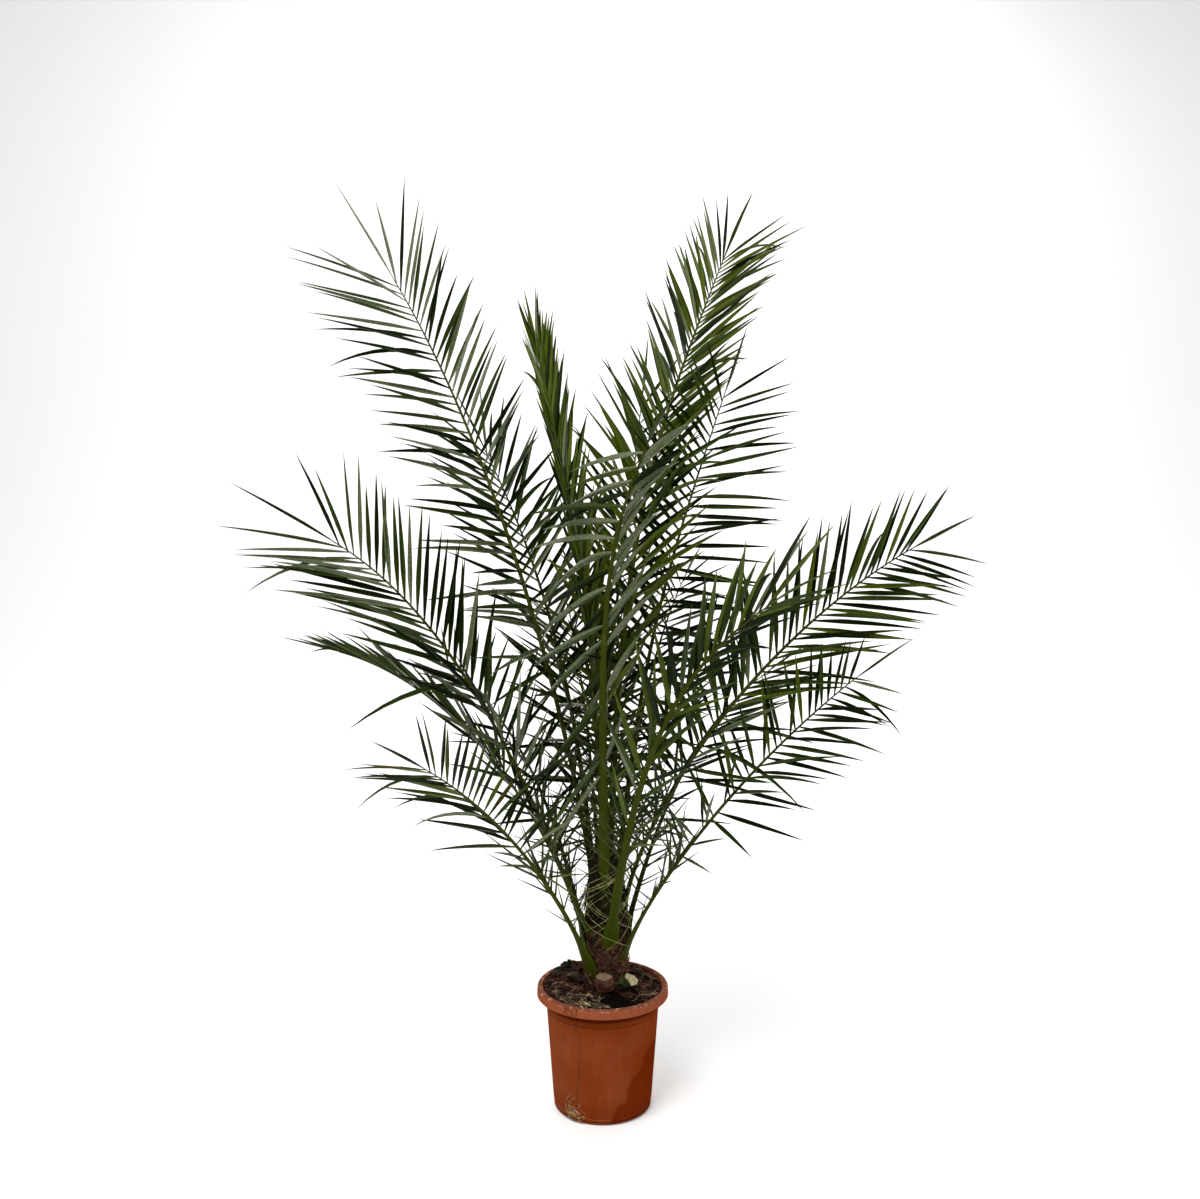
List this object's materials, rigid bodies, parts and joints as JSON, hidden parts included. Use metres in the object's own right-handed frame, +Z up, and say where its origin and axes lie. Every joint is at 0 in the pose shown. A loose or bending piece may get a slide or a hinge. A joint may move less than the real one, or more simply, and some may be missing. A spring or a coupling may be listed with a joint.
{
  "type": "potted date palm",
  "caption": "Young feather palm with arching fronds on a short fibrous trunk, in a round flowerpot of potting soil.",
  "frame": {"origin": "centre of the pot's flat underside, on the ground", "axes": "+Z up along the pot's axis, -Y towards the pictured front, +X to its right"},
  "size_m": [1.6685, 1.371, 2.1936],
  "materials": {
    "terracotta_plastic": "slightly glossy moulded plastic, dusty and scuffed",
    "potting_soil": "loose moist potting soil with bark and straw",
    "fibrous_trunk": "brown woven leaf-base fibre",
    "old_leaf_base": "dry cut leaf base",
    "frond_green": "waxy green leaf",
    "frond_young_green": "waxy yellow-green young leaf"
  },
  "bodies": {
    "root": {"pot": "terracotta_plastic", "soil": "potting_soil", "trunk": "fibrous_trunk", "stub_front_right": "old_leaf_base", "stub_front": "old_leaf_base", "stub_left": "old_leaf_base", "frond_low_left": "frond_green", "frond_low_right": "frond_green", "frond_low_back_right": "frond_green", "frond_low_back": "frond_green", "frond_low_back_left": "frond_green", "frond_left_behind": "frond_green", "frond_right": "frond_green", "frond_back_right": "frond_green", "frond_front_right": "frond_green", "frond_left": "frond_green", "frond_back_left": "frond_green", "frond_right_upright": "frond_green", "frond_front": "frond_green", "frond_upper_left": "frond_green", "frond_upper_right": "frond_green", "frond_centre_back": "frond_green", "frond_young": "frond_young_green"}
  },
  "joints": []
}
